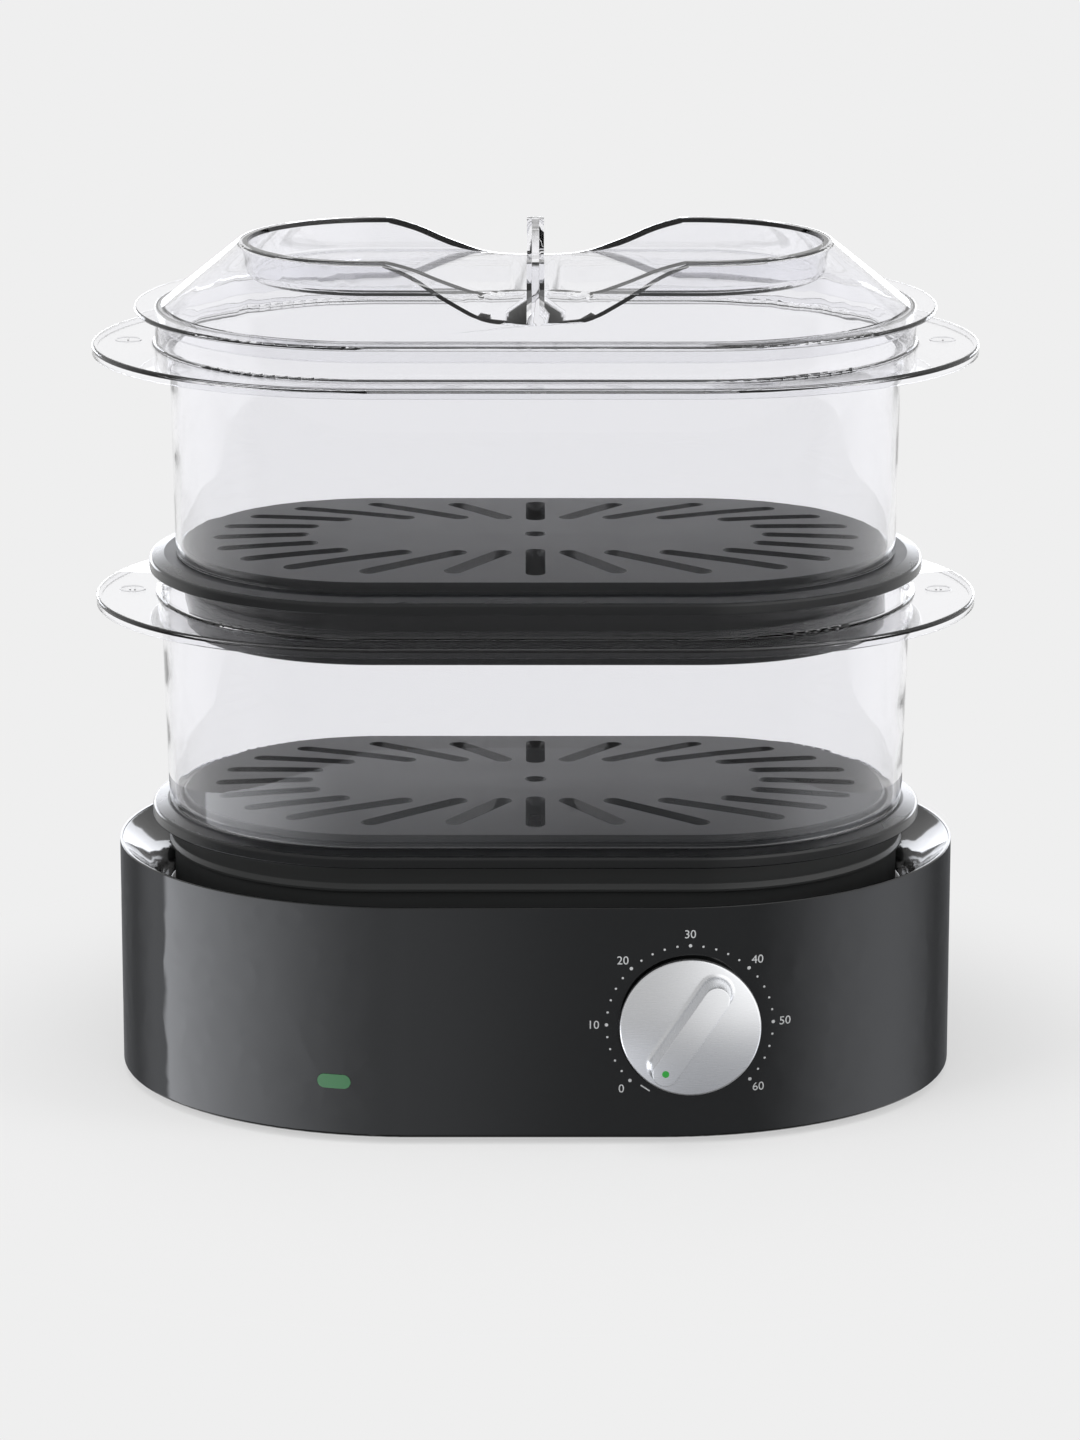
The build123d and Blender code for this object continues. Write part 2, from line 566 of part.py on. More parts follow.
def lead(points):
    """One insulated wire: straight runs joined by arcs."""
    path = FilletPolyline(*points, radius=LEAD_BEND)
    start = Plane(origin=path @ 0, z_dir=path % 0)
    return Part() + sweep(start * Circle(LEAD_R), path=path)


def wiring():
    """Leads from the terminal block to timer, lamp, element and cut-outs."""
    floor = FLOOR_GAP + 7.5
    hole_z = FLOOR_GAP + 2.9 + TERMINAL_HOLE_Z
    tail_x = TUBE_RING_R * sin(radians(TUBE_OPENING))
    tail_y = TUBE_RING_R * cos(radians(TUBE_OPENING))
    under = TANK_FLOOR_Z + SEAL_T - HEATER_DISH
    tail_z = under - TUBE_R - TAIL_DROP - TAB_LENGTH
    cut_z = under - 2 * TUBE_R - CLAMP_T - CUTOUT_DEPTH
    fuse_z = under - 2 * TUBE_R - CLAMP_T - 2.1
    timer_y = TIMER_FRONT_Y + 1.4 + TIMER_DEPTH + TIMER_TAB
    timer_z = KNOB_Z - TIMER_SIZE / 2 + 3
    lamp_y = wall_y(LENS_X) + LAMP_SET_BACK
    fuse_a, fuse_b = FUSE_X - FUSE_LENGTH / 2, FUSE_X + FUSE_LENGTH / 2
    block_y, clear_y = TERMINAL_Y - 3, TERMINAL_Y - 18
    left, right = INLET_X - TERMINAL_STEP, INLET_X + TERMINAL_STEP
    return [
        lead([(INLET_X, block_y, hole_z), (INLET_X, clear_y, hole_z), (20, timer_y + 29.1, floor),
              (KNOB_X - 10, timer_y + 9, timer_z), (KNOB_X - 10, timer_y, timer_z)]),
        lead([(left, block_y, hole_z), (left, clear_y, hole_z), (LENS_X - 20, 0, floor),
              (LENS_X - 20, lamp_y + 30, floor), (LENS_X - 13, lamp_y, LENS_Z),
              (LENS_X - LAMP_LENGTH / 2, lamp_y, LENS_Z)]),
        lead([(right, block_y, hole_z), (right, clear_y, hole_z), (-tail_x - 8, tail_y, floor),
              (-tail_x, tail_y, floor), (-tail_x, tail_y, tail_z)]),
        lead([(KNOB_X + 10, timer_y, timer_z), (KNOB_X + 10, timer_y + 10, timer_z),
              (KNOB_X - 4, timer_y + 26, floor), (CUTOUT_TAB_X, -8, floor), (CUTOUT_TAB_X, 0, floor),
              (CUTOUT_TAB_X, 0, cut_z)]),
        lead([(-CUTOUT_TAB_X, 0, cut_z), (-CUTOUT_TAB_X, 0, floor), (-CUTOUT_TAB_X, 10, floor),
              (fuse_a - 4.5, 10, floor + 4), (fuse_a - 4.5, 0, fuse_z), (fuse_a, 0, fuse_z)]),
        lead([(fuse_b, 0, fuse_z), (fuse_b + 6, 0, fuse_z), (fuse_b + 6, 16, floor + 4),
              (tail_x + 8, tail_y, floor), (tail_x, tail_y, floor), (tail_x, tail_y, tail_z)]),
    ]


def drip_tray():
    """Juice tray with the collar that carries the lower slotted tray."""
    top = PLATE_1 - SEAT_DROP
    foot = TANK_LEDGE_Z + PAD_HEIGHT
    w = DRIP_WALL
    body = oval([
        (0, DRIP_FLOOR_Z, 0), (DRIP_NECK_R - 2, DRIP_FLOOR_Z, 3.0), (DRIP_NECK_R, foot, 0),
        (DRIP_BODY_R, foot, 2.0), (DRIP_BODY_R, BEAD_Z - 1.2, 0), (BEAD_R, BEAD_Z - 0.8, 0.3),
        (BEAD_R, BEAD_Z + 0.2, 0.4), (DRIP_COLLAR_R, BEAD_Z + 1.9, 1.5), (DRIP_COLLAR_R, top, 0.5),
        (DRIP_COLLAR_R - w, top, 0.5), (DRIP_COLLAR_R - w, BEAD_Z, 0.8),
        (DRIP_BODY_R - w, BEAD_Z - 2, 0.8), (DRIP_BODY_R - w, foot + w, 1.5),
        (DRIP_NECK_R - w, foot + w, 1.0), (DRIP_NECK_R - w - 2, DRIP_FLOOR_Z + w, 2.0),
        (0, DRIP_FLOOR_Z + w, 0)])
    wall = extrude(SlotOverall(CHIMNEY_LENGTH, CHIMNEY_WIDTH), CHIMNEY_RISE)
    hole = extrude(SlotOverall(CHIMNEY_LENGTH - 4, CHIMNEY_WIDTH - 4), CHIMNEY_RISE + 4)
    body += wall.moved(Location((0, 0, DRIP_FLOOR_Z)))
    body -= hole.moved(Location((0, 0, DRIP_FLOOR_Z - 2)))
    for index in range(-3, 4):
        rib = Box(2.0, CHIMNEY_WIDTH - 2, CHIMNEY_RISE - 2)
        body += rib.moved(Location((index * 12.0, 0, DRIP_FLOOR_Z + CHIMNEY_RISE / 2)))
    return body


def crown_height(x, y):
    """Height of the plate's upper face above its edge."""
    reach = sqrt(max(0.0, abs(x) - RUN) ** 2 + y ** 2)
    return CROWN * (1 - (reach / PLATE_R) ** 2)


def slot_cutter(x0, y0, x1, y1):
    """Tapered slot between two tips, leaning with the crown of the plate."""
    a = Vector(x0, y0, crown_height(x0, y0))
    b = Vector(x1, y1, crown_height(x1, y1))
    along = b - a
    side = Vector(0, 0, 1).cross(along)
    plane = Plane(origin=(a + b) * 0.5, x_dir=along, z_dir=along.cross(side))
    length = along.length
    narrow = (SLOT_TOP - SLOT_THROUGH) / 2
    lean = degrees(atan(narrow / PLATE_T))
    wide = extrude(SlotOverall(length, SLOT_TOP), 2.0)
    taper = extrude(SlotOverall(length, SLOT_TOP), -PLATE_T, taper=lean)
    through = extrude(Pos(0, 0, 0.2 - PLATE_T) * SlotOverall(length - 2 * narrow, SLOT_THROUGH), -4)
    return plane.location * (wide + taper + through)


def floor_tray():
    """Slotted, slightly crowned plate with a bowl ledge, rim, lip and skirt.
    Height 0 is the edge of the plate."""
    w = SKIRT_WALL
    upper = [(r, CROWN * (1 - (r / PLATE_R) ** 2), 0)
             for r in [drawn * SLOT_STRETCH_Y for drawn in (0, 15, 28, 40, 52, 63)]]
    lower = [(r, z - PLATE_T, 0) for r, z, _ in reversed(upper)]
    body = oval(
        upper + [(PLATE_R, 0, 0.8), (PLATE_R + 0.2, -FOOT_DROP, 0.5), (PLATE_R + 6.7, -FOOT_DROP, 2.0),
                 (TRAY_RIM_R - 0.2, -5.35, 1.3), (TRAY_RIM_R, -TRAY_LIP_DROP, 0.5),
                 (TRAY_RIM_R - 2.2, -TRAY_LIP_DROP, 0.5), (TRAY_RIM_R - 2.4, -SEAT_DROP, 0.4),
                 (SKIRT_TOP_R, -SEAT_DROP, 1.0), (SKIRT_FOOT_R, -SKIRT_DROP, 0.8),
                 (SKIRT_FOOT_R - w, -SKIRT_DROP, 0.8), (SKIRT_TOP_R - w - 0.4, -PLATE_T - 0.1, 1.5)]
        + lower)
    wide, deep = SLOT_STRETCH_X, SLOT_STRETCH_Y
    cutters = [slot_cutter(*[v * s for v, s in zip(tips, (sx * wide, sy * deep) * 2)])
               for tips in CORNER_SLOTS for sx in (-1, 1) for sy in (-1, 1)]
    cutters += [slot_cutter(*[v * s * wide for v in END_SLOT]) for s in (-1, 1)]
    cutters += [slot_cutter(*[v * s * deep for v in MID_SLOT]) for s in (-1, 1)]
    cutters.append(turned([(0, CROWN - PLATE_T - 2, 0), (HOLE_THROUGH_R, CROWN - PLATE_T - 2, 0),
                           (HOLE_THROUGH_R, CROWN - PLATE_T, 0), (HOLE_TOP_R, CROWN, 0),
                           (HOLE_TOP_R, CROWN + 2, 0), (0, CROWN + 2, 0)]))
    return body - cutters


def ear_ring(z, inner, edge=0.9):
    """Wide flange with ears at both ends and a turned-down edge."""
    top = upright(outline(RUN, EAR_END_X, EAR_END_Y, z - FLANGE_LIP), z - FLANGE_LIP, z)
    top = fillet(top.edges().group_by(Axis.Z)[-1], edge)
    top = fillet(top.edges().group_by(Axis.Z)[0], 0.5)
    under = upright(outline(RUN, EAR_END_X - 2.0, EAR_END_Y - 2.0, z - FLANGE_LIP - 1),
                    z - FLANGE_LIP - 1, z - FLANGE_T)
    middle = upright(outline(RUN, inner, inner, z - 10), z - 10, z + 10)
    return top - under - middle


def bowl(plate, foot_r, top_r, foot_lip, ticks):
    """Open-bottomed clear bowl. plate is the level of the tray below it."""
    low = plate - FOOT_DROP
    collar_top = plate + TIER - SEAT_DROP
    z = collar_top - COLLAR_RISE
    w = BOWL_WALL
    under = z - FLANGE_T
    inside = [(top_r - w, z - 1.5, 1.5), (foot_r - w, low, 0.4)]
    if foot_lip:
        inside = [(top_r - w, z - 1.5, 1.5), (foot_r - w, low + 1.8, 1.2), (FOOT_LIP_R, low + 1.8, 0.5),
                  (FOOT_LIP_R, low, 0.4)]
    step = [(COLLAR_R - w, z, 1.0)] if top_r < COLLAR_R - w else [(COLLAR_R - w, z, 0.4)]
    body = oval([(foot_r, low, 0.8), (top_r, under, 1.0), (COLLAR_R + 3, under, 0),
                 (COLLAR_R + 3, z, 0), (COLLAR_R, z, 1.2), (COLLAR_R, collar_top, 0.7),
                 (COLLAR_R - w, collar_top, 0.7)] + step + inside)
    body += ear_ring(z, COLLAR_R + 2.5)
    for side in (-1, 1):
        ring = extrude(Circle(MARK_R) - Circle(MARK_R - 0.6), 0.35)
        for index in range(ticks):
            x = (index - (ticks - 1) / 2) * 1.8
            ring += extrude(Pos(x, 0) * Rectangle(0.6, 3.6), 0.35)
        body += ring.moved(Location((side * MARK_X, 0, z - 0.05)))
    return body


def lid_form(t):
    """Outer form of the lid, or its inner form when t is the wall."""
    lean = sqrt(1 + LID_SLOPE ** 2)
    low = LID_SEAT
    top = LID_TOP - t
    shoulder = LID_SHOULDER_R - t * (lean - LID_SLOPE)
    foot = shoulder + (top - low) * LID_SLOPE
    base = low if t == 0 else low - 12
    dome_points = [(0, base, 0), (foot if t == 0 else LID_SKIRT_R - 1.9, base, 0)]
    if t > 0:
        dome_points.append((LID_SKIRT_R - 1.9, low - (LID_SKIRT_R - 1.9 - foot) / LID_SLOPE, 0))
    dome = oval(dome_points + [(shoulder, top, 2.4), (0, top, 0)])
    floor = DISH_FLOOR - t
    hollow = oval([(0, floor, 0), (DISH_FOOT_R + t, floor, 2.2 + t), (DISH_R + t, LID_TOP + 1, 0),
                   (0, LID_TOP + 1, 0)])
    spread = [(x + t * 0.5 * min(1, x / 20), LID_TOP - drop - t) for x, drop in SCOOP_CURVE]
    for side in (-1, 1):
        curve = Edge.make_spline([Vector(-x, side * SCOOP_START_Y, z) for x, z in reversed(spread)]
                                 + [Vector(x, side * SCOOP_START_Y, z) for x, z in spread[1:]])
        half, high = spread[-1][0], LID_TOP + 8
        a = Vector(-half, side * SCOOP_START_Y, high)
        b = Vector(half, side * SCOOP_START_Y, high)
        face = Face(Wire([curve, Edge.make_line(curve @ 1, b), Edge.make_line(b, a),
                          Edge.make_line(a, curve @ 0)]))
        back = Vector(0, -side, SCOOP_FALL) * 14.0
        push = Vector(0, side, -SCOOP_FALL) * (COLLAR_R - 12.0)
        hollow += Solid.extrude(face.moved(Location(back)), push)
    end = Box(FIN_WIDTH - 1.8 * t, 60, 200, align=(Align.CENTER, Align.MIN, Align.CENTER))
    fin = end.moved(Location((0, FIN_END_Y + t, LID_TOP)))
    fin += fin.rotate(Axis.Z, 180)
    if t == 0:
        fin += Box(FIN_WEB, 2 * FIN_END_Y + 2, 200).moved(Location((0, 0, LID_TOP)))
    return (dome - hollow) + (dome & fin)


def lid():
    """Domed clear lid: flange, dish, two finger scoops and a grip fin."""
    low = LID_SEAT
    flange = oval([(LID_SKIRT_R - 1.9, low, 0), (LID_FLANGE_R, low, 0.6),
                   (LID_FLANGE_R, low + LID_FLANGE_T, 0.8), (LID_SKIRT_R - 1.9, low + LID_FLANGE_T, 0)])
    skirt = oval([(LID_SKIRT_R - 1.9, low - LID_SKIRT_DROP, 0.6), (LID_SKIRT_R, low - LID_SKIRT_DROP, 0.6),
                  (LID_SKIRT_R, low + 1, 0), (LID_SKIRT_R - 1.9, low + 1, 0)])
    return (lid_form(0) + flange + skirt) - lid_form(LID_WALL)


def depth_shift():
    """From the middle of the oval plan to the middle of the overall depth."""
    front = wall_y(KNOB_X) - KNOB_PROUD - BAR_HEIGHT
    back = -wall_y(INLET_X) + BUSH_PROUD
    return Location((0, -(front + back) / 2, 0))


def main():
    os.makedirs("parts", exist_ok=True)
    tray = floor_tray()
    nodes = {
        "outer_casing": outer_casing(),
        "reservoir_deck": reservoir_deck(),
        "water_reservoir": water_reservoir(),
        "bottom_cover": bottom_cover(),
        "rubber_feet": rubber_feet(),
        "cover_screws": cover_screws(),
        "heater_plate": heater_plate(),
        "heater_seal": heater_seal(),
        "heating_element": heating_element(),
        "heater_clamp": heater_clamp(),
        "thermostat": thermostat(),
        "thermal_fuse": thermal_fuse(),
        "timer_housing": timer_housing(),
        "timer_bracket": timer_bracket(),
        "timer_screws": timer_screws(),
        "timer_bell": timer_bell(),
        "timer_shaft": timer_shaft(),
        "knob_core": knob_core(),
        "knob_cap": knob_cap(),
        "pointer_dot": pointer_dot(),
        "lamp_lens": lamp_lens(),
        "neon_lamp": neon_lamp(),
        "lamp_holder": lamp_holder(),
        "cord_bush": cord_bush(),
        "terminal_block": terminal_block(),
        "wiring": wiring(),
        "drip_tray": drip_tray(),
        "lower_tray": tray.moved(Location((0, 0, PLATE_1))),
        "lower_bowl": bowl(PLATE_1, LOWER_FOOT_R, LOWER_TOP_R, True, 2),
        "upper_tray": tray.moved(Location((0, 0, PLATE_2))),
        "upper_bowl": bowl(PLATE_2, UPPER_FOOT_R, UPPER_TOP_R, False, 1),
        "lid": lid(),
    }
    for name, shape in nodes.items():
        solids = shape if isinstance(shape, list) else [shape]
        solids = [s.moved(depth_shift()) for item in solids for s in item.solids()]
        export_step(Compound(children=solids, label=name), f"parts/{name}.step")


if __name__ == "__main__":
    main()
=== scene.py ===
import math

import bmesh
import bpy
from mathutils import Matrix, Vector


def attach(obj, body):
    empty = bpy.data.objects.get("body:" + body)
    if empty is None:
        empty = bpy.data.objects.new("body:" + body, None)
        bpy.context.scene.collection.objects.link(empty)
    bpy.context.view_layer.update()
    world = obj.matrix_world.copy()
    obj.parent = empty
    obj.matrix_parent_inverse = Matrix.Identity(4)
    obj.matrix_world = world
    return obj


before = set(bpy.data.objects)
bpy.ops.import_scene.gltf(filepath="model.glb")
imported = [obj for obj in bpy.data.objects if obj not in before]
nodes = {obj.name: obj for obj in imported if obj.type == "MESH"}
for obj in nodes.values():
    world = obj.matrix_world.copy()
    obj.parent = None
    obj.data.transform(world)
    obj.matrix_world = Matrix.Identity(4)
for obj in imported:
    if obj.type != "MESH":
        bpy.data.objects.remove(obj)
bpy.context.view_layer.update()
scene = bpy.context.scene
print("frame loaded:", len(nodes), "nodes")


# ---------- helpers used by every material and piece

def linear(code):  # sRGB hex to linear colour
    parts = [int(code[i:i + 2], 16) / 255 for i in (0, 2, 4)]
    return [c / 12.92 if c <= 0.04045 else ((c + 0.055) / 1.055) ** 2.4 for c in parts] + [1.0]


def addNode(tree, kind, settings=None, inputs=None):  # inputs: socket name or index to a value or an output
    made = tree.nodes.new(kind)
    for name, value in (settings or {}).items():
        setattr(made, name, value)
    for key, value in (inputs or {}).items():
        if isinstance(value, bpy.types.NodeSocket):
            tree.links.new(value, made.inputs[key])
        else:
            made.inputs[key].default_value = value
    return made


def startMaterial(name):
    material = bpy.data.materials.new(name)
    material.use_nodes = True
    material.node_tree.nodes.clear()
    return material, material.node_tree


def finishMaterial(tree, surface):
    addNode(tree, "ShaderNodeOutputMaterial", inputs={"Surface": surface})


def bumpFrom(tree, height, depth, strength=1.0):  # depth in metres
    return addNode(tree, "ShaderNodeBump", inputs={
        "Height": height, "Distance": depth, "Strength": strength}).outputs["Normal"]


def spread(tree, source, low, high):  # a 0 to 1 pattern onto low to high
    return addNode(tree, "ShaderNodeMapRange", inputs={
        "Value": source, "To Min": low, "To Max": high}).outputs["Result"]


def place(tree, scale=(1, 1, 1), turn=(0, 0, 0), shift=(0, 0, 0)):  # Object coordinates through a Mapping
    spot = addNode(tree, "ShaderNodeTexCoord").outputs["Object"]
    return addNode(tree, "ShaderNodeMapping", inputs={
        "Vector": spot, "Scale": scale, "Rotation": turn, "Location": shift}).outputs["Vector"]


def grain(tree, size, detail=2.0, where=None):  # noise whose blotches are about size metres across
    return addNode(tree, "ShaderNodeTexNoise", inputs={
        "Vector": where or place(tree), "Scale": 1 / size, "Detail": detail}).outputs["Fac"]


def dress(material, *names):
    for name in names:
        mesh = nodes[name].data
        mesh.materials.clear()
        mesh.materials.append(material)


# ---------- camera

camera = {
    "place": (0.0, -2.148215, 0.686546),
    "tilt": 75.6404,
    "lens": 146.96,
    "shift": (0.003125, -0.001068),
    "sensor": 36,
    "clip": (0.1, 60),
    "bounces": 24,  # the nested clear walls need this many
}
lensData = bpy.data.cameras.new("camera")
lensData.lens = camera["lens"]
lensData.sensor_width = camera["sensor"]
lensData.sensor_fit = "AUTO"
lensData.shift_x, lensData.shift_y = camera["shift"]
lensData.clip_start, lensData.clip_end = camera["clip"]
eye = bpy.data.objects.new("camera", lensData)
eye.location = camera["place"]
eye.rotation_euler = (math.radians(camera["tilt"]), 0, 0)
scene.collection.objects.link(eye)
scene.camera = eye
scene.view_settings.view_transform = "Standard"
for bounce in ("max_bounces", "transmission_bounces", "transparent_max_bounces"):
    setattr(scene.cycles, bounce, camera["bounces"])


# ---------- studio: pale floor and world, lamps, a ring of soft panels that only gloss sees

studio = {
    "backdrop": "EFEFEF",
    "skyLevel": 0.55,              # what the world gives to matt surfaces
    "mirrorFront": 0.12,           # what gloss sees low down in front, a dark room
    "mirrorLeft": 0.55,            # the same higher up, on the left
    "mirrorRight": 1.3,            # and on the right, where a soft window stands
    "mirrorBack": 0.863,           # and towards the backdrop
    "mirrorSides": (-0.1, 0.5),    # X of a ray's direction over which the left fades into the right
    "mirrorRise": (-0.27, -0.02),  # its Z over which the dark room fades into the two sides
    "mirrorDepth": (-0.2, 0.5),    # its Y over which the front fades into the backdrop
    "through": 0.95,               # backdrop as seen through clear walls, which take some of it away
    "high": 0.35,                  # the same straight up, so that bent edges of clear walls draw dark lines
    "highRise": (0.4, 0.85),       # Z of a ray's direction over which it darkens
    "roomDark": 0.2,               # share of it left towards the dark room, for gloss behind clear walls
    "roomDepth": (-0.75, -0.2),    # Y of a ray's direction over which the room lightens
    "roomFloor": (-0.45, -0.13),   # metres of Y over which the floor in front does
    "floorGrey": "DDDDDD",
    "floorRadius": 12,
    "floorFade": (0.17, 0.30),     # metres from the middle over which the lit floor fades into the backdrop
    "floorLit": 0.4,               # share of the near floor that lamps light, the rest is backdrop
}


def glow(tree, colour, strength):
    return addNode(tree, "ShaderNodeBackground", inputs={"Color": colour, "Strength": strength}).outputs[0]


def mixed(tree, share, first, second):
    return addNode(tree, "ShaderNodeMixShader", inputs={0: share, 1: first, 2: second}).outputs[0]


def eased(tree, value, start, end, low, high):
    return addNode(tree, "ShaderNodeMapRange", {"interpolation_type": "SMOOTHSTEP"}, {
        "Value": value, "From Min": start, "From Max": end, "To Min": low, "To Max": high}).outputs["Result"]


def blended(tree, share, first, second):
    return addNode(tree, "ShaderNodeMix", {"data_type": "FLOAT"}, {0: share, 2: first, 3: second}).outputs[0]


world = bpy.data.worlds.new("paleStudio")
scene.world = world
world.use_nodes = True
sky = world.node_tree
sky.nodes.clear()
white = (1, 1, 1, 1)
heading = addNode(sky, "ShaderNodeTexCoord").outputs["Generated"]
way = addNode(sky, "ShaderNodeSeparateXYZ", inputs={0: heading})
path = addNode(sky, "ShaderNodeLightPath").outputs
sides = eased(sky, way.outputs["X"], *studio["mirrorSides"], studio["mirrorLeft"], studio["mirrorRight"])
rise = eased(sky, way.outputs["Z"], *studio["mirrorRise"], 0.0, 1.0)
front = blended(sky, rise, studio["mirrorFront"], sides)
rearward = eased(sky, way.outputs["Y"], *studio["mirrorDepth"], 0.0, 1.0)
mirrored = glow(sky, white, blended(sky, rearward, front, studio["mirrorBack"]))
upward = eased(sky, way.outputs["Z"], *studio["highRise"], studio["through"], studio["high"])
room = eased(sky, way.outputs["Y"], *studio["roomDepth"], studio["roomDark"], 1.0)
room = blended(sky, path["Glossy Depth"], 1.0, room)  # only for rays that some gloss has turned
through = glow(sky, white, addNode(sky, "ShaderNodeMath", {"operation": "MULTIPLY"}, {
    0: upward, 1: room}).outputs[0])
skyMix = mixed(sky, path["Is Glossy Ray"], glow(sky, white, studio["skyLevel"]), mirrored)
skyMix = mixed(sky, path["Is Transmission Ray"], skyMix, through)
skyMix = mixed(sky, path["Is Camera Ray"], skyMix, glow(sky, linear(studio["backdrop"]), 1.0))
addNode(sky, "ShaderNodeOutputWorld", inputs={"Surface": skyMix})

floorPaint, tree = startMaterial("Matt paper sweep")  # seamless paper: no gloss, keeps only a soft shadow
litFloor = addNode(tree, "ShaderNodeBsdfDiffuse", inputs={
    "Color": linear(studio["floorGrey"]), "Roughness": 1.0})
paleFloor = addNode(tree, "ShaderNodeEmission", inputs={"Color": linear(studio["backdrop"]), "Strength": 1.0})
path = addNode(tree, "ShaderNodeLightPath").outputs
spot = addNode(tree, "ShaderNodeTexCoord").outputs["Object"]
inFront = addNode(tree, "ShaderNodeSeparateXYZ", inputs={0: spot}).outputs["Y"]
roomFloor = eased(tree, inFront, *studio["roomFloor"],
                  studio["through"] * studio["roomDark"], studio["through"])
farFloor = addNode(tree, "ShaderNodeEmission", inputs={
    "Color": white, "Strength": blended(tree, path["Glossy Depth"], studio["through"], roomFloor)})
clearFloor = addNode(tree, "ShaderNodeBsdfTransparent")
distance = addNode(tree, "ShaderNodeVectorMath", {"operation": "LENGTH"}, {0: spot}).outputs["Value"]
fade = eased(tree, distance, *studio["floorFade"], 1 - studio["floorLit"], 1.0)
floorMix = mixed(tree, path["Is Camera Ray"], litFloor.outputs[0],
                 mixed(tree, fade, litFloor.outputs[0], paleFloor.outputs[0]))
floorMix = mixed(tree, path["Is Glossy Ray"], floorMix, clearFloor.outputs[0])
floorMix = mixed(tree, path["Is Transmission Ray"], floorMix, farFloor.outputs[0])
finishMaterial(tree, floorMix)

sweep = bmesh.new()
bmesh.ops.create_circle(sweep, cap_ends=True, segments=96, radius=studio["floorRadius"])
floorMesh = bpy.data.meshes.new("floor")
sweep.to_mesh(floorMesh)
sweep.free()
floorMesh.materials.append(floorPaint)
floor = bpy.data.objects.new("floor", floorMesh)
scene.collection.objects.link(floor)

# A low ring of cloth below floor level, seen only in gloss: it is what the upright casing walls mirror. A
# big window glows through it on the left and a soft box on the right, and the front and the back are dark.
panels = {
    "tint": (0.98, 1.0, 1.05),
    "radius": 0.8,
    "low": -0.45,
    "high": -0.09,
    "behind": 0.2,
    "fades": [  # from one angle to another, in degrees from the front, left is minus, and the level reached
        (-130, -104, 0.8),  # beside the window
        (-104, -101, 3.3),  # its hard back edge
        (-90, -10, 0.8),    # it falls off towards the front
        (-6, 3, 0.38),      # its front edge, then the dark front
        (35, 75, 1.35),     # the soft box
        (82, 132, 0.15),    # its back edge
    ],
}
panelPaint, tree = startMaterial("Softbox cloth")  # diffuser cloth: an even glow with soft ends
onRing = addNode(tree, "ShaderNodeTexCoord").outputs["Object"]
spot = addNode(tree, "ShaderNodeSeparateXYZ", inputs={0: onRing})
ahead = addNode(tree, "ShaderNodeMath", {"operation": "MULTIPLY"}, {0: spot.outputs["Y"], 1: -1.0})
angle = addNode(tree, "ShaderNodeMath", {"operation": "ARCTAN2"}, {0: spot.outputs["X"], 1: ahead.outputs[0]})
degrees = addNode(tree, "ShaderNodeMath", {"operation": "DEGREES"}, {0: angle.outputs[0]}).outputs[0]
level, light = panels["behind"], panels["behind"]
for start, end, reached in panels["fades"]:
    light = addNode(tree, "ShaderNodeMath", {"operation": "ADD"}, {
        0: light, 1: eased(tree, degrees, start, end, 0.0, reached - level)}).outputs[0]
    level = reached
finishMaterial(tree, addNode(tree, "ShaderNodeEmission", inputs={
    "Color": (*panels["tint"], 1), "Strength": light}).outputs[0])

ring = bmesh.new()
bmesh.ops.create_circle(ring, cap_ends=False, segments=128, radius=panels["radius"])
bmesh.ops.translate(ring, vec=(0, 0, panels["low"]), verts=ring.verts)
wallOf = bmesh.ops.extrude_edge_only(ring, edges=ring.edges[:])
bmesh.ops.translate(ring, vec=(0, 0, panels["high"] - panels["low"]),
                    verts=[v for v in wallOf["geom"] if isinstance(v, bmesh.types.BMVert)])
panelMesh = bpy.data.meshes.new("panelRing")
ring.to_mesh(panelMesh)
ring.free()
panelMesh.materials.append(panelPaint)
panelRing = bpy.data.objects.new("panelRing", panelMesh)
scene.collection.objects.link(panelRing)

# The blown-out backdrop behind, as the sloping ends of the deck mirror it: another thing only gloss sees.
rear = {"radius": 1.1, "low": 0.10, "high": 0.42, "half": math.radians(46), "level": 4.4}
rearPaint, tree = startMaterial("Lit backdrop cloth")  # even white cloth
finishMaterial(tree, addNode(tree, "ShaderNodeEmission", inputs={
    "Color": (0.98, 1.0, 1.05, 1), "Strength": rear["level"]}).outputs[0])
arc = bmesh.new()
endX, endY = math.sin(rear["half"]) * rear["radius"], math.cos(rear["half"]) * rear["radius"]
foot = arc.verts.new((endX, endY, rear["low"]))
head = arc.verts.new((endX, endY, rear["high"]))
edge = arc.edges.new((foot, head))
bmesh.ops.spin(arc, geom=[foot, head, edge], cent=(0, 0, 0), axis=(0, 0, 1), angle=2 * rear["half"], steps=32,
               use_merge=False)
rearMesh = bpy.data.meshes.new("rearCloth")
arc.to_mesh(rearMesh)
arc.free()
rearMesh.materials.append(rearPaint)
rearCloth = bpy.data.objects.new("rearCloth", rearMesh)
scene.collection.objects.link(rearCloth)
for cloth in (panelRing, rearCloth):
    for ray in ("camera", "diffuse", "transmission", "shadow", "volume_scatter"):
        setattr(cloth, "visible_" + ray, False)

